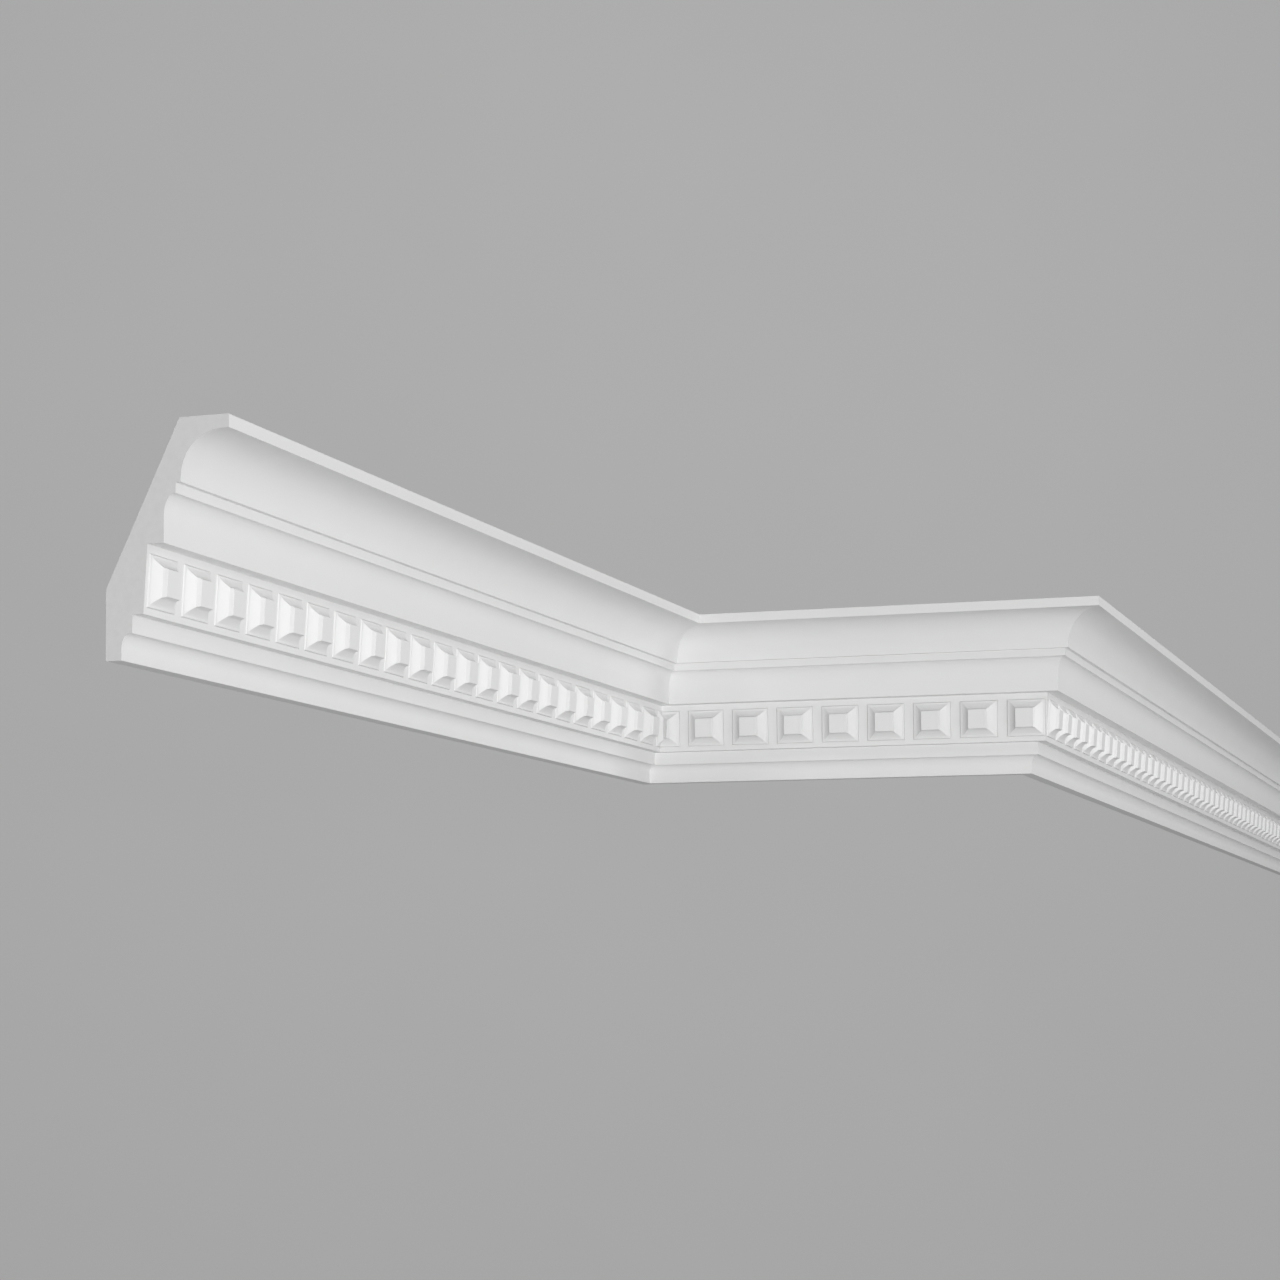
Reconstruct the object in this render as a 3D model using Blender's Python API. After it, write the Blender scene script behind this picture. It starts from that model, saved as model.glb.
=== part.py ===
"""A white cornice moulding in three mitred lengths, round an inner and then an outer wall corner.

Sizes are in metres. X points out of the walls that carry the left and right lengths, Y runs along
those two lengths from the left one to the right one, and Z is up. The return faces -Y. The origin
is the middle of the return's wall face.
A section is drawn as (out, down): out from the wall, and down from the ceiling.
"""
import bpy
import bmesh
from math import cos, pi, sin
from mathutils import Matrix, Vector

# The three lengths, measured along the wall between its corners
LEFT_LENGTH = 0.8110
RETURN_LENGTH = 0.2987
RIGHT_LENGTH = 1.6400
JOINT_GAP = 0.0003

# The section, from the ceiling down
HEIGHT = 0.1200
LIP_OUT = 0.0690
LIP_HEIGHT = 0.0067
CEILING_FACE = 0.0276
COVE_FOOT_OUT = 0.0421
COVE_FOOT_DOWN = 0.0322
FILLET_OUT = 0.0393
FILLET_HEIGHT = 0.0054
FRIEZE_OUT = 0.0327
FRIEZE_COVE_HEIGHT = 0.0128
FRIEZE_FOOT_DOWN = 0.0621
BAND_TOP_OUT = 0.0235
BAND_FOOT_OUT = 0.0213
BAND_FOOT_DOWN = 0.0972
LOW_FILLET_OUT = 0.0150
LOW_FILLET_HEIGHT = 0.0093
LOW_COVE_HEIGHT = 0.0077
FOOT_OUT = 0.0089
WALL_FACE = 0.0360
COVE_STEPS = 18
SMALL_COVE_STEPS = 10
COVE_FULLNESS = 2.3

# The pyramid blocks on the leaning band
BLOCK_PITCH = 0.03530
BLOCK_WIDE = 0.0281
BLOCK_TALL = 0.0269
TOP_WIDE = 0.0133
TOP_TALL = 0.0139
BLOCK_RAISE = 0.0069
PLINTH_RAISE = 0.0007
RIM_RAISE = 0.0012
RIM_SHARE = 0.08
FLANK_HOLLOW = 2.0
FLANK_STEPS = 5
BLOCK_SUNK = 0.0030
BLOCK_MID_DOWN = 0.0800

# Where the first block's edge stands: from the left length's cut end, from the inner wall corner
# on the return, and from the outer wall corner on the right length, back towards the mitre
LEFT_FIRST = 0.0030
RETURN_FIRST = 0.0448
RIGHT_FIRST = 0.0164

WHITE = (0.80, 0.80, 0.79, 1.0)


def quarter(out_from, down_from, out_to, down_to, steps):
    """A hollow quarter curve that leaves level from its first point and arrives upright at its last."""
    points = []
    for i in range(steps + 1):
        turn = pi / 2 * i / steps
        across = 1 - sin(turn) ** (2 / COVE_FULLNESS) if i < steps else 0.0
        along = 1 - cos(turn) ** (2 / COVE_FULLNESS) if i < steps else 1.0
        points.append((out_to + (out_from - out_to) * across, down_from + (down_to - down_from) * along))
    return points


def section():
    """The moulding's outline, starting at the back of the ceiling face."""
    fillet_foot = COVE_FOOT_DOWN + FILLET_HEIGHT
    low_fillet_foot = BAND_FOOT_DOWN + LOW_FILLET_HEIGHT
    points = [(LIP_OUT - CEILING_FACE, 0.0), (LIP_OUT, 0.0)]
    points += quarter(LIP_OUT, LIP_HEIGHT, COVE_FOOT_OUT, COVE_FOOT_DOWN, COVE_STEPS)
    points.append((FILLET_OUT, COVE_FOOT_DOWN))
    points += quarter(FILLET_OUT, fillet_foot, FRIEZE_OUT, fillet_foot + FRIEZE_COVE_HEIGHT, SMALL_COVE_STEPS)
    points += [(FRIEZE_OUT, FRIEZE_FOOT_DOWN), (BAND_TOP_OUT, FRIEZE_FOOT_DOWN)]
    points += [(BAND_FOOT_OUT, BAND_FOOT_DOWN), (LOW_FILLET_OUT, BAND_FOOT_DOWN)]
    points += quarter(LOW_FILLET_OUT, low_fillet_foot, FOOT_OUT, low_fillet_foot + LOW_COVE_HEIGHT, SMALL_COVE_STEPS)
    points += [(FOOT_OUT, HEIGHT), (0.0, HEIGHT), (0.0, HEIGHT - WALL_FACE)]
    return points


def mesh_object(name, vertices, faces):
    """A closed mesh object with its faces turned outwards."""
    mesh = bpy.data.meshes.new(name)
    mesh.from_pydata(vertices, [], faces)
    shape = bmesh.new()
    shape.from_mesh(mesh)
    bmesh.ops.recalc_face_normals(shape, faces=shape.faces)
    shape.to_mesh(mesh)
    shape.free()
    made = bpy.data.objects.new(name, mesh)
    bpy.context.scene.collection.objects.link(made)
    return made


def prism(name, start, end):
    """The section carried along a run. A run is drawn as (out, along, up)."""
    outline = section()
    count = len(outline)
    vertices = [(out, start, -down) for out, down in outline]
    vertices += [(out, end, -down) for out, down in outline]
    faces = [tuple(range(count)), tuple(range(2 * count - 1, count - 1, -1))]
    for i in range(count):
        j = (i + 1) % count
        faces.append((i, j, count + j, count + i))
    return mesh_object(name, vertices, faces)


def block_rings():
    """The block's half sizes and raise, from its sunk base up to its flat top."""
    rings = [(0.0, -BLOCK_SUNK), (0.0, PLINTH_RAISE)]
    climb = BLOCK_RAISE - PLINTH_RAISE - RIM_RAISE
    for i in range(1, FLANK_STEPS + 1):
        part = i / FLANK_STEPS
        rings.append((part * (1 - RIM_SHARE), PLINTH_RAISE + climb * part ** FLANK_HOLLOW))
    rings.append((1.0, BLOCK_RAISE))
    return rings


def blocks(name, middles):
    """Pyramid blocks with hollow flanks and flat tops, square to the leaning band."""
    lean = Vector((BAND_TOP_OUT - BAND_FOOT_OUT, BAND_FOOT_DOWN - FRIEZE_FOOT_DOWN)).normalized()
    share = (BLOCK_MID_DOWN - FRIEZE_FOOT_DOWN) / (BAND_FOOT_DOWN - FRIEZE_FOOT_DOWN)
    middle_out = BAND_TOP_OUT + (BAND_FOOT_OUT - BAND_TOP_OUT) * share
    vertices = []
    faces = []
    for along in middles:
        first = len(vertices)
        rings = block_rings()
        for part, rise in rings:
            wide = (BLOCK_WIDE + (TOP_WIDE - BLOCK_WIDE) * part) / 2
            tall = (BLOCK_TALL + (TOP_TALL - BLOCK_TALL) * part) / 2
            for side, lift in ((-1, -1), (1, -1), (1, 1), (-1, 1)):
                out = middle_out + lean.y * rise + lean.x * tall * lift
                up = -BLOCK_MID_DOWN - lean.x * rise + lean.y * tall * lift
                vertices.append((out, along + wide * side, up))
        for ring in range(len(rings) - 1):
            low = first + 4 * ring
            for i in range(4):
                j = (i + 1) % 4
                faces.append((low + i, low + j, low + 4 + j, low + 4 + i))
        top = first + 4 * (len(rings) - 1)
        faces.append((first + 3, first + 2, first + 1, first))
        faces.append((top, top + 1, top + 2, top + 3))
    return mesh_object(name, vertices, faces)


def mitre_cutter(name, at, slope, keep):
    """A tall wedge on the far side of the mitre plane along = at + slope * out, moved back by half a gap."""
    reach = 2 * LIP_OUT
    offset = -keep * JOINT_GAP / 2 * 2 ** 0.5
    near = at + offset - slope * LIP_OUT
    far = at + offset + slope * reach
    beyond = at + keep * 4 * reach
    vertices = []
    for up in (0.1 * HEIGHT, -1.1 * HEIGHT):
        vertices += [(-LIP_OUT, near, up), (reach, far, up), (reach, beyond, up), (-LIP_OUT, beyond, up)]
    faces = [(0, 1, 2, 3), (7, 6, 5, 4), (0, 4, 5, 1), (1, 5, 6, 2), (2, 6, 7, 3), (3, 7, 4, 0)]
    return mesh_object(name, vertices, faces)


def combine(target, other, operation):
    """Applies one exact Boolean and removes the second object."""
    modifier = target.modifiers.new(operation.lower(), "BOOLEAN")
    modifier.operation = operation
    modifier.solver = "EXACT"
    modifier.object = other
    graph = bpy.context.evaluated_depsgraph_get()
    result = bpy.data.meshes.new_from_object(target.evaluated_get(graph))
    target.modifiers.clear()
    target.data = result
    bpy.data.objects.remove(other, do_unlink=True)


def length(name, start, end, middles, mitres, placing):
    """One length: the section's prism and its blocks, cut at its mitres, then put in its place.

    mitres holds (at, slope, keep) for each corner. keep is 1 where the cut-off side is further along.
    """
    made = prism(name, start, end)
    combine(made, blocks(name + "_blocks", middles), "UNION")
    for at, slope, keep in mitres:
        combine(made, mitre_cutter(name + "_mitre", at, slope, keep), "DIFFERENCE")
    made.data.transform(placing)
    made.data.update()
    made.data.materials.clear()
    made.data.materials.append(white_paint(name))
    return made


def white_paint(name):
    """Matt white primer."""
    paint = bpy.data.materials.new(name + "_paint")
    paint.use_nodes = True
    shader = paint.node_tree.nodes["Principled BSDF"]
    shader.inputs["Base Color"].default_value = WHITE
    shader.inputs["Roughness"].default_value = 0.6
    return paint


def row_of_blocks(first_edge, step, until):
    """The middles of the blocks whose near edge lies before the end of the row."""
    middles = []
    edge = first_edge
    while (until - edge) * step > 0:
        middles.append(edge + BLOCK_WIDE / 2 * step)
        edge += BLOCK_PITCH * step
    return middles


def build():
    """Makes the three lengths round the two corners."""
    overrun = 2 * LIP_OUT
    corner = Vector((-RETURN_LENGTH / 2, 0.0, HEIGHT - WALL_FACE / 2))
    to_inner = Matrix.Translation(corner)
    to_outer = Matrix.Translation(corner + Vector((RETURN_LENGTH, 0.0, 0.0)))
    turned = to_inner @ Matrix(((0, 1, 0, 0), (-1, 0, 0, 0), (0, 0, 1, 0), (0, 0, 0, 1)))
    band_mitre = BAND_TOP_OUT + BLOCK_RAISE
    left_row = row_of_blocks(-LEFT_LENGTH + LEFT_FIRST, 1, -BAND_TOP_OUT)
    return_row = row_of_blocks(RETURN_FIRST - BLOCK_PITCH, 1, RETURN_LENGTH + band_mitre - BLOCK_WIDE)
    right_row = row_of_blocks(-RIGHT_FIRST, 1, RIGHT_LENGTH - BLOCK_WIDE)
    inner = (0.0, -1, 1)
    length("left_length", -LEFT_LENGTH, overrun, left_row, [inner], to_inner)
    ends = [(0.0, 1, -1), (RETURN_LENGTH, 1, 1)]
    length("return_length", -overrun, RETURN_LENGTH + overrun, return_row, ends, turned)
    outer = (0.0, -1, -1)
    length("right_length", -overrun, RIGHT_LENGTH, right_row, [outer], to_outer)


for old in list(bpy.data.objects):
    bpy.data.objects.remove(old, do_unlink=True)
build()
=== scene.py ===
"""A white cornice moulding, finished: three mitred lengths round an inner and an outer corner.

Sizes are in metres. Each length is modelled with the wall on its left: out is +X, the length runs
along +Y and the ceiling is at Z 0. It is then turned and moved to its wall corner.
"""

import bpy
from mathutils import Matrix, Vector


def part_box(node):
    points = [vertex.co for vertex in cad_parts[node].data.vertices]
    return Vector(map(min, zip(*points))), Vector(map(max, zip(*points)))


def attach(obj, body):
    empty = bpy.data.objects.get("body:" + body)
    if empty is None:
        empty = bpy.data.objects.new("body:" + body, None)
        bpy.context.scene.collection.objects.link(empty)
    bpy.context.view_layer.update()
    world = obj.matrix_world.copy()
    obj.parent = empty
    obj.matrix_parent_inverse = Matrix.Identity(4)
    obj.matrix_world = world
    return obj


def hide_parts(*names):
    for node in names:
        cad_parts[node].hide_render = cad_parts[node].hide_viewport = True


bl_info = {
    "name": "Cornice Moulding",
    "version": (1, 0, 0),
    "blender": (4, 5, 0),
    "location": "View3D > Sidebar > Cornice",
    "description": "Mitred lengths of a white cornice moulding with coves and pyramid blocks",
    "category": "Add Mesh",
}

from math import atan2, cos, pi, radians, sin
import bpy
import bmesh
from bpy.props import FloatProperty, FloatVectorProperty, IntProperty, PointerProperty
from mathutils import Matrix, Vector

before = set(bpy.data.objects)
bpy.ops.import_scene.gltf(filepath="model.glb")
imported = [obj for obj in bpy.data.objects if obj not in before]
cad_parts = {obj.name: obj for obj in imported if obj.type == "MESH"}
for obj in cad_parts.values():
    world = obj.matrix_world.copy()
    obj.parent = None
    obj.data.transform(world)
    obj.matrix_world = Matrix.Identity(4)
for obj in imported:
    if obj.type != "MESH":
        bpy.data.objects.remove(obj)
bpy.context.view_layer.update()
LEFT_LOW, LEFT_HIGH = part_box("left_length")
RIGHT_LOW, RIGHT_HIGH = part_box("right_length")

# The camera as solved from the photo: its place, then its turn to the left of +Y and its small
# roll, in radians
CAMERA_PLACE = (0.57218, -2.04048, -0.19151)
CAMERA_HEADING = 0.3406852
CAMERA_ROLL = 0.0027862

# Each soft box: degrees round from the return's front towards +X, degrees over the horizon,
# and watts
SOFT_BOXES = {
    "key_soft_box": (30.0, -12.0, 153.2),
    "side_soft_box": (92.0, 12.0, 48.5),
    "second_soft_box": (60.0, -12.0, 43.3),
    "high_side_soft_box": (92.0, 40.0, 30.4),
    "high_left_soft_box": (-20.0, 40.0, 27.9),
    "low_soft_box": (0.0, -88.0, 11.3),
    "back_soft_box": (-135.0, 25.0, 110.0),
}

# How steeply the backdrop's soft box shines down, and the camera's sensor in millimetres
WASH_SLOPE = 0.2
SENSOR_WIDTH = 36.0

# The least cosine between two directions that count as one, the least area of a sawn end in
# square metres, and the angle up to which neighbouring faces shade as one
SAME_WAY = 0.999
SAWN_AREA = 0.001
SMOOTH_ANGLE = radians(26)

# Each finish: the scales of its mottle and its grain, and its least and greatest roughness
PRIMER_FILM = ((22.0, 700.0), (0.55, 0.68))
SAWN_END_FILM = ((260.0, 1500.0), (0.8, 0.95))
FLOOR_FILM = ((1.5, 40.0), (0.85, 0.95))
FLOOR_SHADE = 0.97

# Detail and roughness of the mottle's and the grain's noise, the grain's height in metres, and
# the specular level of every finish
MOTTLE_NOISE = (3.0, 0.55)
GRAIN_NOISE = (2.0, 0.5)
GRAIN_HEIGHT = 0.0001
SPECULAR_LEVEL = 0.35


def length_property(name, description, default):
    """A distance in metres."""
    return FloatProperty(
        name=name, description=description, default=default, unit="LENGTH", precision=5
    )


def number_property(name, description, default, low=0.0, high=1000.0):
    """A plain number."""
    return FloatProperty(name=name, description=description, default=default, min=low, max=high)


def colour_property(name, description, default):
    """A linear colour."""
    return FloatVectorProperty(
        name=name,
        description=description,
        default=default,
        subtype="COLOR",
        size=3,
        min=0.0,
        max=1.0,
    )


class CorniceSection(bpy.types.PropertyGroup):
    """The moulding's section. Out is measured from the wall, down from the ceiling."""

    height: length_property("Height", "From the ceiling to the foot", LEFT_HIGH.z - LEFT_LOW.z)
    lip_out: length_property("Lip out", "How far the lip stands out", LEFT_HIGH.x - LEFT_LOW.x)
    lip_height: length_property("Lip height", "Height of the lip's front face", 0.0067)
    ceiling_face: length_property("Ceiling face", "Width of the face against the ceiling", 0.0276)
    cove_foot_out: length_property("Cove foot out", "Where the large cove ends, out", 0.0421)
    cove_foot_down: length_property("Cove foot down", "Where the large cove ends, down", 0.0322)
    fillet_out: length_property(
        "Fillet out", "How far the fillet under the cove stands out", 0.0393
    )
    fillet_height: length_property("Fillet height", "Height of the fillet under the cove", 0.0054)
    frieze_out: length_property("Frieze out", "How far the plain frieze stands out", 0.0327)
    frieze_cove: length_property("Frieze cove", "Height of the small cove over the frieze", 0.0128)
    frieze_foot: length_property("Frieze foot", "How far down the frieze ends", 0.0621)
    band_top_out: length_property(
        "Band top out", "How far the leaning band stands out at its top", 0.0235
    )
    band_foot_out: length_property(
        "Band foot out", "How far the leaning band stands out at its foot", 0.0213
    )
    band_foot_down: length_property("Band foot down", "How far down the leaning band ends", 0.0972)
    low_fillet_out: length_property("Low fillet out", "How far the low fillet stands out", 0.0150)
    low_fillet: length_property("Low fillet height", "Height of the low fillet", 0.0093)
    low_cove: length_property("Low cove height", "Height of the cove under the low fillet", 0.0077)
    foot_out: length_property("Foot out", "How far the foot stands out", 0.0089)
    wall_face: length_property("Wall face", "Height of the face against the wall", 0.0360)
    arris: length_property("Arris", "How much paint softens each long edge", 0.00022)
    fullness: number_property(
        "Cove fullness", "Roundness of the coves, where 2 is an ellipse", 2.3, 1.5, 4.0
    )
    cove_steps: IntProperty(
        name="Cove steps", description="Facets of the large cove", default=36, min=6
    )
    small_steps: IntProperty(
        name="Small steps", description="Facets of each small cove", default=18, min=4
    )


class CorniceBlocks(bpy.types.PropertyGroup):
    """The raised blocks on the leaning band."""

    pitch: length_property("Pitch", "From one block's middle to the next", 0.03530)
    wide: length_property("Width", "Width of a block's base", 0.0281)
    tall: length_property("Height", "Height of a block's base", 0.0269)
    top_wide: length_property("Top width", "Width of a block's flat top", 0.0133)
    top_tall: length_property("Top height", "Height of a block's flat top", 0.0139)
    rise: length_property("Rise", "How far a block stands off the band", 0.0069)
    plinth: length_property("Plinth", "Height of the slanting step round a block's base", 0.0005)
    plinth_share: number_property(
        "Plinth share", "How much of a side's width the step takes", 0.06, 0.0, 0.5
    )
    rim: length_property("Rim", "Height of the steep rim round the flat top", 0.0024)
    rim_share: number_property(
        "Rim share", "How much of a side's width the rim takes", 0.10, 0.0, 0.5
    )
    sunk: length_property("Sunk", "How deep a block is let into the band", 0.0020)
    quirk_wide: length_property(
        "Quirk width", "Width of the fine quirk round a block's base", 0.00025
    )
    quirk_deep: length_property(
        "Quirk depth", "Depth of the fine quirk round a block's base", 0.0005
    )
    middle_down: length_property("Middle down", "How far down the blocks' middles are", 0.0800)
    softness: length_property("Softness", "How much paint softens a block's edges", 0.00012)
    hollow: number_property(
        "Flank hollow", "How hollow the flanks are, where 1 is straight", 1.7, 1.0, 4.0
    )
    flank_steps: IntProperty(
        name="Flank steps", description="Facets of each flank", default=8, min=2
    )


class CorniceRuns(bpy.types.PropertyGroup):
    """The three lengths along their walls, and where their rows of blocks start."""

    left: length_property("Left length", "From the square end to the inner corner", -LEFT_LOW.y)
    middle: length_property(
        "Return length", "From the inner corner to the outer corner", -2 * LEFT_LOW.x
    )
    right: length_property("Right length", "From the outer corner to the square end", RIGHT_HIGH.y)
    ceiling: length_property("Ceiling", "Height of the ceiling over the origin", LEFT_HIGH.z)
    left_first: length_property(
        "Left first block", "From the square end to the first block", 0.0030
    )
    middle_first: length_property(
        "Return first block", "From the inner corner to the first block", 0.0448
    )
    right_first: length_property(
        "Right first block", "How far before the outer corner it starts", 0.0164
    )
    joint: length_property("Joint", "Width of each mitre joint", 0.00005)


class CornicePaint(bpy.types.PropertyGroup):
    """The finishes: matt white primer all over, and a darker film where a length is sawn off
    square.
    """

    primer: colour_property("Primer", "Colour of the primer", (0.80, 0.80, 0.80))
    primer_shade: colour_property(
        "Primer shade", "The primer where its film is thinner", (0.77, 0.77, 0.77)
    )
    # The sawn ends' colour, set darker than the primer's
    core: colour_property("Core", "Colour of the sawn core", (0.70, 0.70, 0.70))
    core_shade: colour_property("Core shade", "The sawn core's pores", (0.62, 0.62, 0.62))
    peel: number_property("Peel", "Depth of the film's fine unevenness", 0.08)
    pores: number_property("Pores", "Depth of the core's fine pores", 0.25)


class CorniceStage(bpy.types.PropertyGroup):
    """The studio: a pale floor that curves up all round, soft lights and the camera."""

    floor: colour_property("Floor", "Colour of the floor", (0.80, 0.80, 0.80))
    floor_drop: length_property("Floor drop", "How far the floor is under the origin", 2.4)
    floor_radius: length_property("Floor radius", "Radius of the flat floor", 7.0)
    rim_height: length_property("Rim height", "Height of the curved rim", 7.0)
    box_distance: length_property(
        "Box distance", "How far the soft boxes stand off the origin", 5.5
    )
    box_size: length_property("Box size", "Side of each soft box", 1.7)
    wash_behind: length_property(
        "Wash behind", "How far behind the origin the backdrop's soft box is", 3.5
    )
    wash_height: length_property("Wash height", "How high the backdrop's soft box is", 4.5)
    wash_power: number_property("Wash power", "Watts of the backdrop's soft box", 100.0)
    air: number_property("Air", "Strength of the weak glow all round", 0.234)
    lens: number_property("Lens", "Focal length on a 36 mm sensor", 78.256)
    shift: number_property("Shift", "Upward shift of the view", 0.28719, -1.0, 1.0)


def quarter(out_from, down_from, out_to, down_to, steps, fullness):
    """A hollow quarter curve that leaves its first point level and meets its last upright."""
    points = []
    for i in range(steps + 1):
        turn = pi / 2 * i / steps
        across = 1 - sin(turn) ** (2 / fullness) if i < steps else 0.0
        along = 1 - cos(turn) ** (2 / fullness) if i < steps else 1.0
        out = out_to + (out_from - out_to) * across
        down = down_from + (down_to - down_from) * along
        points.append((out, down))
    return points


def section_outline(s):
    """The section as (out, down) points, and the corners that paint softens."""
    fillet_foot = s.cove_foot_down + s.fillet_height
    frieze_top = fillet_foot + s.frieze_cove
    low_foot = s.band_foot_down + s.low_fillet
    foot_top = low_foot + s.low_cove
    cove = quarter(
        s.lip_out, s.lip_height, s.cove_foot_out, s.cove_foot_down, s.cove_steps, s.fullness
    )
    frieze = quarter(
        s.fillet_out, fillet_foot, s.frieze_out, frieze_top, s.small_steps, s.fullness
    )
    low = quarter(s.low_fillet_out, low_foot, s.foot_out, foot_top, s.small_steps, s.fullness)
    front = [(s.lip_out, 0.0), cove[0], cove[-1], (s.fillet_out, s.cove_foot_down), frieze[0]]
    front += [(s.frieze_out, s.frieze_foot), (s.band_top_out, s.frieze_foot)]
    front += [(s.band_foot_out, s.band_foot_down), (s.low_fillet_out, s.band_foot_down), low[0]]
    back = [(0.0, s.height), (0.0, s.height - s.wall_face)]
    points = [(s.lip_out - s.ceiling_face, 0.0), front[0]] + cove + [front[3]] + frieze
    points += front[5:9] + low + [(s.foot_out, s.height)] + back
    return points, front + [(s.foot_out, s.height)]


def deselect_all():
    """Leaves nothing selected and object mode on."""
    if bpy.context.object and bpy.context.object.mode != "OBJECT":
        bpy.ops.object.mode_set(mode="OBJECT")
    bpy.ops.object.select_all(action="DESELECT")


def only(piece):
    """Selects one object and makes it active."""
    deselect_all()
    piece.select_set(True)
    bpy.context.view_layer.objects.active = piece


def select_where(piece, kind, test):
    """Selects the vertices or faces that pass the test, in edit mode."""
    bpy.ops.mesh.select_mode(type=kind)
    bpy.ops.mesh.select_all(action="DESELECT")
    mesh = bmesh.from_edit_mesh(piece.data)
    items = mesh.verts if kind == "VERT" else mesh.faces
    for item in items:
        if test(item):
            item.select_set(True)
    mesh.select_flush_mode()
    bmesh.update_edit_mesh(piece.data)


def apply_modifier(piece, kind, **settings):
    """Adds one modifier, sets it and applies it."""
    only(piece)
    modifier = piece.modifiers.new(kind.lower(), kind)
    for key, value in settings.items():
        setattr(modifier, key, value)
    bpy.ops.object.modifier_apply(modifier=modifier.name)


def drawn_length(name, section, start, end):
    """Draws the section, fills it, softens its corners and extrudes it along the run."""
    points, soft = section_outline(section)
    deselect_all()
    first = Vector((points[0][0], start, -points[0][1]))
    bpy.ops.mesh.primitive_plane_add(size=section.lip_height, location=first)
    piece = bpy.context.object
    piece.name = name
    bpy.ops.object.transform_apply(location=True, rotation=False, scale=False)
    bpy.ops.object.mode_set(mode="EDIT")
    bpy.ops.mesh.select_mode(type="VERT")
    bpy.ops.mesh.select_all(action="SELECT")
    bpy.ops.mesh.merge(type="CENTER")
    last = points[0]
    for out, down in points[1:]:
        step = (out - last[0], 0.0, last[1] - down)
        bpy.ops.mesh.extrude_vertices_move(TRANSFORM_OT_translate={"value": step})
        last = (out, down)
    bpy.ops.mesh.select_all(action="SELECT")
    bpy.ops.mesh.edge_face_add()
    near = section.arris / 4

    def softened(vertex):
        return any(
            abs(vertex.co.x - out) < near and abs(vertex.co.z + down) < near for out, down in soft
        )

    select_where(piece, "VERT", softened)
    bpy.ops.mesh.bevel(offset=section.arris, segments=3, affect="VERTICES")
    bpy.ops.mesh.select_all(action="SELECT")
    bpy.ops.mesh.extrude_region_move(TRANSFORM_OT_translate={"value": (0.0, end - start, 0.0)})
    bpy.ops.mesh.select_all(action="SELECT")
    bpy.ops.mesh.normals_make_consistent(inside=False)
    bpy.ops.object.mode_set(mode="OBJECT")
    return piece


def flank_rings(blocks):
    """How far in each ring of a block's side lies, from 0 to 1, and its height over the band."""
    climb = blocks.rise - blocks.plinth - blocks.rim
    across = 1 - blocks.plinth_share - blocks.rim_share
    rings = []
    for i in range(blocks.flank_steps + 1):
        part = i / blocks.flank_steps
        height = blocks.plinth + climb * part ** blocks.hollow
        rings.append((blocks.plinth_share + across * part, height))
    return rings + [(1.0, blocks.rise)]


def one_block(blocks):
    """One block on a base at X 0, out along +X: a slab whose top is drawn in step by step."""
    deselect_all()
    slab = blocks.sunk - blocks.softness
    bpy.ops.mesh.primitive_cube_add(size=1.0, location=(slab / 2 - blocks.sunk, 0.0, 0.0))
    piece = bpy.context.object
    piece.scale = (slab, blocks.wide, blocks.tall)
    bpy.ops.object.transform_apply(location=True, rotation=False, scale=True)
    bpy.ops.object.mode_set(mode="EDIT")
    select_where(piece, "FACE", lambda face: face.normal.x > SAME_WAY)
    wide, tall, height = blocks.wide, blocks.tall, -blocks.softness
    for part, new_height in flank_rings(blocks):
        new_wide = blocks.wide + (blocks.top_wide - blocks.wide) * part
        new_tall = blocks.tall + (blocks.top_tall - blocks.tall) * part
        step = (new_height - height, 0.0, 0.0)
        bpy.ops.mesh.extrude_region_move(TRANSFORM_OT_translate={"value": step})
        bpy.ops.transform.resize(
            value=(1.0, new_wide / wide, new_tall / tall), center_override=(new_height, 0.0, 0.0)
        )
        wide, tall, height = new_wide, new_tall, new_height
    bpy.ops.mesh.bevel(offset=blocks.softness, segments=2, affect="EDGES")
    bpy.ops.mesh.select_all(action="SELECT")
    bpy.ops.mesh.normals_make_consistent(inside=False)
    bpy.ops.object.mode_set(mode="OBJECT")
    return piece


def one_pocket(blocks):
    """What is cut out of the band for one block and the fine quirk round its base."""
    deselect_all()
    bpy.ops.mesh.primitive_cube_add(size=1.0, location=(0.0, 0.0, 0.0))
    piece = bpy.context.object
    edge = 2 * blocks.quirk_wide
    piece.scale = (2 * blocks.quirk_deep, blocks.wide + edge, blocks.tall + edge)
    bpy.ops.object.transform_apply(location=True, rotation=False, scale=True)
    return piece


def row_along_band(piece, section, blocks, first_edge, count):
    """A row of copies of the piece, square to the leaning band."""
    lean_out = section.band_top_out - section.band_foot_out
    lean_down = section.band_foot_down - section.frieze_foot
    share = (blocks.middle_down - section.frieze_foot) / lean_down
    only(piece)
    piece.rotation_euler.y = atan2(lean_out, lean_down)
    middle_out = section.band_top_out - lean_out * share
    piece.location = (middle_out, first_edge + blocks.wide / 2, -blocks.middle_down)
    bpy.ops.object.transform_apply(location=True, rotation=True, scale=False)
    apply_modifier(
        piece,
        "ARRAY",
        count=count,
        use_relative_offset=False,
        use_constant_offset=True,
        constant_offset_displace=(0.0, blocks.pitch, 0.0),
    )
    return piece


def cut_mitre(piece, at, slope, keep, short):
    """Saws the piece short of the plane y = at + slope * x, and closes the cut.

    keep is 1 where what is sawn off lies further along the run, and -1 where it lies before.
    """
    only(piece)
    normal = Vector((-slope, 1.0, 0.0)).normalized() * keep
    point = Vector((0.0, at, 0.0)) - normal * short
    bpy.ops.object.mode_set(mode="EDIT")
    bpy.ops.mesh.select_all(action="SELECT")
    bpy.ops.mesh.bisect(plane_co=point, plane_no=normal, use_fill=True, clear_outer=True)
    bpy.ops.object.mode_set(mode="OBJECT")


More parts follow.
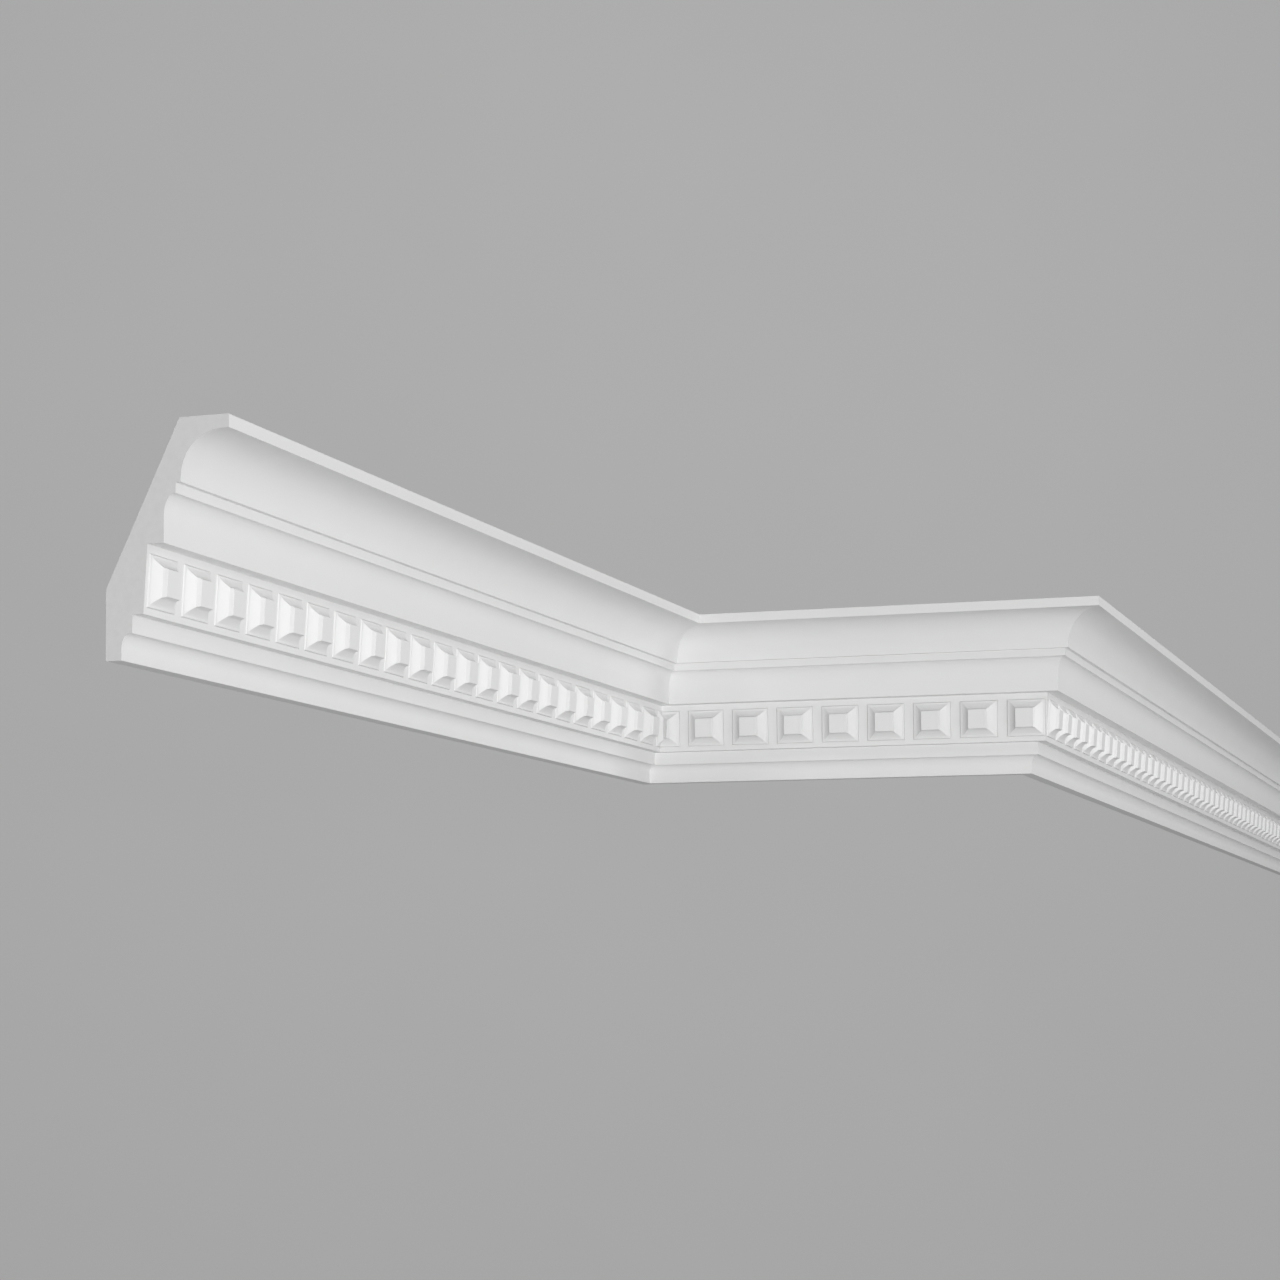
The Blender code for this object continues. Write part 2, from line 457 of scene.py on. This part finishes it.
def finish_length(piece, corner, turn, node, sawn):
    """Moves the length to its wall corner, gives it its finishes, hangs it under the root body's
    empty and hides the CAD part it replaces.
    """
    only(piece)
    piece.rotation_euler.z = turn
    piece.location = corner
    bpy.ops.object.transform_apply(location=True, rotation=True, scale=False)
    piece.data.materials.clear()
    piece.data.materials.append(primer_material())
    piece.data.materials.append(sawn_end_material())
    # Faces of the square sawn end take the second, darker film
    for face in piece.data.polygons:
        face.material_index = int(face.normal.dot(sawn) > SAME_WAY and face.area > SAWN_AREA)
    bpy.ops.object.shade_smooth_by_angle(angle=SMOOTH_ANGLE)
    apply_modifier(piece, "WEIGHTED_NORMAL", weight=100, keep_sharp=True)
    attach(piece, "root")
    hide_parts(node)


def settings_of(scene):
    """The settings of the section, the blocks and the runs."""
    return scene.cornice_section, scene.cornice_blocks, scene.cornice_runs


def make_length(node, start, end, first_edge, count, mitres, corner, turn, sawn):
    """One length: the drawn moulding and its row of blocks made one, then sawn at its mitres.

    mitres holds (at, slope, keep) for each corner, as cut_mitre takes them. sawn is the way that
    the length's square end faces as modelled, and all zeros where it has none.
    """
    section, blocks, runs = settings_of(bpy.context.scene)
    piece = drawn_length(node + "_moulding", section, start, end)
    for shape, operation in ((one_pocket, "DIFFERENCE"), (one_block, "UNION")):
        row = row_along_band(shape(blocks), section, blocks, first_edge, count)
        apply_modifier(piece, "BOOLEAN", operation=operation, solver="EXACT", object=row)
        bpy.data.objects.remove(row, do_unlink=True)
    for at, slope, keep in mitres:
        cut_mitre(piece, at, slope, keep, runs.joint / 2)
    finish_length(piece, corner, turn, node, sawn)


def effect_group(name, inputs, outputs):
    """A new shader group with its sockets and its two end nodes, or the one already made."""
    group = bpy.data.node_groups.get(name)
    if group:
        return group, None, None
    group = bpy.data.node_groups.new(name, "ShaderNodeTree")
    for label, kind, default in inputs:
        socket = group.interface.new_socket(name=label, in_out="INPUT", socket_type=kind)
        socket.default_value = default
    for label, kind in outputs:
        group.interface.new_socket(name=label, in_out="OUTPUT", socket_type=kind)
    entry = group.nodes.new("NodeGroupInput")
    leave = group.nodes.new("NodeGroupOutput")
    return group, entry, leave


def noise(group, place, scale_from, detail, roughness):
    """A noise texture on Object coordinates whose scale comes from a socket."""
    node = group.nodes.new("ShaderNodeTexNoise")
    node.inputs["Detail"].default_value = detail
    node.inputs["Roughness"].default_value = roughness
    group.links.new(place.outputs["Object"], node.inputs["Vector"])
    group.links.new(scale_from, node.inputs["Scale"])
    return node


def film_group():
    """A thin film: a soft mottle in its colour, and a fine grain in its gloss and height."""
    inputs = [
        ("Colour", "NodeSocketColor", (0.8, 0.8, 0.8, 1.0)),
        ("Shade", "NodeSocketColor", (0.7, 0.7, 0.7, 1.0)),
        ("Mottle scale", "NodeSocketFloat", 30.0),
        ("Grain scale", "NodeSocketFloat", 900.0),
        ("Roughness low", "NodeSocketFloat", 0.5),
        ("Roughness high", "NodeSocketFloat", 0.6),
    ]
    outputs = [
        ("Colour", "NodeSocketColor"),
        ("Roughness", "NodeSocketFloat"),
        ("Height", "NodeSocketFloat"),
    ]
    group, entry, leave = effect_group("painted_film", inputs, outputs)
    if entry is None:
        return group
    place = group.nodes.new("ShaderNodeTexCoord")
    mottle = noise(group, place, entry.outputs["Mottle scale"], *MOTTLE_NOISE)
    grain = noise(group, place, entry.outputs["Grain scale"], *GRAIN_NOISE)
    colour = group.nodes.new("ShaderNodeMix")
    colour.data_type = "RGBA"
    group.links.new(mottle.outputs["Fac"], colour.inputs["Factor"])
    group.links.new(entry.outputs["Shade"], colour.inputs["A"])
    group.links.new(entry.outputs["Colour"], colour.inputs["B"])
    gloss = group.nodes.new("ShaderNodeMapRange")
    group.links.new(grain.outputs["Fac"], gloss.inputs["Value"])
    group.links.new(entry.outputs["Roughness low"], gloss.inputs["To Min"])
    group.links.new(entry.outputs["Roughness high"], gloss.inputs["To Max"])
    group.links.new(colour.outputs["Result"], leave.inputs["Colour"])
    group.links.new(gloss.outputs["Result"], leave.inputs["Roughness"])
    group.links.new(grain.outputs["Fac"], leave.inputs["Height"])
    return group


def film_material(name, colour, shade, scales, gloss, depth):
    """A matt surface with the film's unevenness in colour, roughness and bump."""
    made = bpy.data.materials.get(name)
    if made:
        return made
    made = bpy.data.materials.new(name)
    made.use_nodes = True
    tree = made.node_tree
    shader = tree.nodes["Principled BSDF"]
    film = tree.nodes.new("ShaderNodeGroup")
    film.node_tree = film_group()
    film.inputs["Colour"].default_value = (*colour, 1.0)
    film.inputs["Shade"].default_value = (*shade, 1.0)
    film.inputs["Mottle scale"].default_value = scales[0]
    film.inputs["Grain scale"].default_value = scales[1]
    film.inputs["Roughness low"].default_value = gloss[0]
    film.inputs["Roughness high"].default_value = gloss[1]
    bump = tree.nodes.new("ShaderNodeBump")
    bump.inputs["Strength"].default_value = depth
    bump.inputs["Distance"].default_value = GRAIN_HEIGHT
    tree.links.new(film.outputs["Height"], bump.inputs["Height"])
    tree.links.new(bump.outputs["Normal"], shader.inputs["Normal"])
    tree.links.new(film.outputs["Colour"], shader.inputs["Base Color"])
    tree.links.new(film.outputs["Roughness"], shader.inputs["Roughness"])
    shader.inputs["Specular IOR Level"].default_value = SPECULAR_LEVEL
    return made


def primer_material():
    """Matt white primer, sprayed thin, with a hardly visible peel."""
    paint = bpy.context.scene.cornice_paint
    return film_material(
        "white_primer", paint.primer, paint.primer_shade, *PRIMER_FILM, paint.peel
    )


def sawn_end_material():
    """The square sawn ends: a film set darker than the primer, with fine pores."""
    paint = bpy.context.scene.cornice_paint
    return film_material("darker_sawn_end", paint.core, paint.core_shade, *SAWN_END_FILM, paint.pores)


class CORNICE_OT_left_length(bpy.types.Operator):
    """Models the left length, square at its near end and mitred at the inner corner"""

    bl_idname = "cornice.left_length"
    bl_label = "Left length"

    def execute(self, context):
        section, blocks, runs = settings_of(context.scene)
        first = -runs.left + runs.left_first
        make_length(
            "left_length",
            start=-runs.left,
            end=2 * section.lip_out,
            first_edge=first,
            count=int((-section.band_top_out - first) / blocks.pitch) + 1,
            mitres=[(0.0, -1, 1)],
            corner=(-runs.middle / 2, 0.0, runs.ceiling),
            turn=0.0,
            sawn=Vector((0, -1, 0)),
        )
        return {"FINISHED"}


class CORNICE_OT_return_length(bpy.types.Operator):
    """Models the return, mitred at the inner and the outer corner"""

    bl_idname = "cornice.return_length"
    bl_label = "Return length"

    def execute(self, context):
        section, blocks, runs = settings_of(context.scene)
        first = runs.middle_first - blocks.pitch
        last = runs.middle + section.band_top_out + blocks.rise - blocks.wide
        make_length(
            "return_length",
            start=-2 * section.lip_out,
            end=runs.middle + 2 * section.lip_out,
            first_edge=first,
            count=int((last - first) / blocks.pitch) + 1,
            mitres=[(0.0, 1, -1), (runs.middle, 1, 1)],
            corner=(-runs.middle / 2, 0.0, runs.ceiling),
            turn=-pi / 2,
            sawn=Vector((0, 0, 0)),
        )
        return {"FINISHED"}


class CORNICE_OT_right_length(bpy.types.Operator):
    """Models the right length, mitred at the outer corner and square at its far end"""

    bl_idname = "cornice.right_length"
    bl_label = "Right length"

    def execute(self, context):
        section, blocks, runs = settings_of(context.scene)
        first = -runs.right_first
        make_length(
            "right_length",
            start=-2 * section.lip_out,
            end=runs.right,
            first_edge=first,
            count=int((runs.right - blocks.wide - first) / blocks.pitch) + 1,
            mitres=[(0.0, -1, -1)],
            corner=(runs.middle / 2, 0.0, runs.ceiling),
            turn=0.0,
            sawn=Vector((0, 1, 0)),
        )
        return {"FINISHED"}


def soft_box(name, size, power, place, away):
    """A square soft box at a place, which shines against the direction given."""
    light = bpy.data.lights.new(name, "AREA")
    light.shape = "SQUARE"
    light.size = size
    light.energy = power
    lamp = bpy.data.objects.new(name, light)
    bpy.context.scene.collection.objects.link(lamp)
    lamp.location = place
    lamp.rotation_euler = away.to_track_quat("Z", "Y").to_euler()
    lamp.visible_camera = False


def stage_material(colour):
    """A plain pale floor with a faint unevenness in its colour and gloss."""
    shade = [FLOOR_SHADE * part for part in colour]
    return film_material("studio_floor", colour, shade, *FLOOR_FILM, 0.0)


class CORNICE_OT_stage(bpy.types.Operator):
    """Makes the studio: floor, soft lights and the camera"""

    bl_idname = "cornice.stage"
    bl_label = "Studio stage"

    def execute(self, context):
        stage = context.scene.cornice_stage
        deselect_all()
        bpy.ops.mesh.primitive_circle_add(
            vertices=96,
            radius=stage.floor_radius,
            fill_type="NGON",
            location=(0.0, 0.0, -stage.floor_drop),
        )
        floor = bpy.context.object
        floor.name = "studio_floor"
        bpy.ops.object.transform_apply(location=True, rotation=False, scale=False)
        bpy.ops.object.mode_set(mode="EDIT")
        bpy.ops.mesh.select_mode(type="EDGE")
        bpy.ops.mesh.select_all(action="SELECT")
        reach = stage.floor_radius
        steps = 8
        for i in range(steps):
            turn, after = pi / 2 * i / steps, pi / 2 * (i + 1) / steps
            wider = stage.floor_radius + stage.rim_height / 2 * sin(after)
            rise = stage.rim_height * (cos(turn) - cos(after))
            bpy.ops.mesh.extrude_edges_move(TRANSFORM_OT_translate={"value": (0.0, 0.0, rise)})
            bpy.ops.transform.resize(
                value=(wider / reach, wider / reach, 1.0), center_override=(0.0, 0.0, 0.0)
            )
            reach = wider
        bpy.ops.object.mode_set(mode="OBJECT")
        bpy.ops.object.shade_smooth()
        floor.data.materials.append(stage_material(stage.floor))
        floor.visible_diffuse = False
        floor.visible_glossy = False
        floor.visible_shadow = False
        make_lights(stage)
        make_camera(stage)
        return {"FINISHED"}


def make_lights(stage):
    """The soft boxes, one more for the backdrop alone, and a weak glow all round."""
    for name, (turn, lift, power) in SOFT_BOXES.items():
        turn, lift = radians(turn), radians(lift)
        toward = Vector((sin(turn) * cos(lift), -cos(turn) * cos(lift), sin(lift)))
        soft_box(name, stage.box_size, power, toward * stage.box_distance, toward)
    ahead = Vector((-sin(CAMERA_HEADING), cos(CAMERA_HEADING), 0.0))
    behind = ahead * stage.wash_behind + Vector((0.0, 0.0, stage.wash_height))
    tilt = Vector((0.0, 0.0, WASH_SLOPE))
    soft_box("backdrop_soft_box", stage.box_size, stage.wash_power, behind, tilt - ahead)
    world = bpy.data.worlds.new("studio_air")
    world.use_nodes = True
    background = world.node_tree.nodes["Background"]
    background.inputs["Color"].default_value = (1.0, 1.0, 1.0, 1.0)
    background.inputs["Strength"].default_value = stage.air
    bpy.context.scene.world = world


def make_camera(stage):
    """The camera: level and below the moulding, its lens shifted so uprights stay upright."""
    data = bpy.data.cameras.new("camera")
    camera = bpy.data.objects.new("camera", data)
    bpy.context.scene.collection.objects.link(camera)
    data.sensor_width = SENSOR_WIDTH
    data.lens = stage.lens
    data.shift_y = stage.shift
    heading = Matrix.Rotation(CAMERA_HEADING, 4, "Z")
    upright = Matrix.Rotation(pi / 2, 4, "X")
    roll = Matrix.Rotation(CAMERA_ROLL, 4, "Z")
    camera.matrix_world = Matrix.Translation(CAMERA_PLACE) @ heading @ upright @ roll
    bpy.context.scene.camera = camera
    bpy.context.scene.view_settings.view_transform = "Standard"


class CORNICE_PT_panel(bpy.types.Panel):
    """Sizes, colours and the buttons that make each piece"""

    bl_idname = "CORNICE_PT_panel"
    bl_label = "Cornice moulding"
    bl_space_type = "VIEW_3D"
    bl_region_type = "UI"
    bl_category = "Cornice"

    def draw(self, context):
        for operator in OPERATORS:
            self.layout.operator(operator.bl_idname)
        for name, group in GROUPS.items():
            box = self.layout.box()
            box.label(text=group.__doc__.split(".")[0].split(":")[0])
            for key in group.__annotations__:
                box.prop(getattr(context.scene, name), key)


OPERATORS = [
    CORNICE_OT_left_length,
    CORNICE_OT_return_length,
    CORNICE_OT_right_length,
    CORNICE_OT_stage,
]
GROUPS = {
    "cornice_section": CorniceSection,
    "cornice_blocks": CorniceBlocks,
    "cornice_runs": CorniceRuns,
    "cornice_paint": CornicePaint,
    "cornice_stage": CorniceStage,
}


def register():
    """Registers the classes and hangs the settings on the scene."""
    for item in [*GROUPS.values(), *OPERATORS, CORNICE_PT_panel]:
        bpy.utils.register_class(item)
    for name, group in GROUPS.items():
        setattr(bpy.types.Scene, name, PointerProperty(type=group))


def unregister():
    """Takes the settings and classes away again."""
    for name in GROUPS:
        delattr(bpy.types.Scene, name)
    for item in [CORNICE_PT_panel, *reversed(OPERATORS), *reversed(list(GROUPS.values()))]:
        bpy.utils.unregister_class(item)


def main():
    """Registers the add-on, then makes every piece and the stage."""
    register()
    bpy.ops.cornice.left_length()
    bpy.ops.cornice.return_length()
    bpy.ops.cornice.right_length()
    bpy.ops.cornice.stage()


if __name__ == "__main__":
    main()
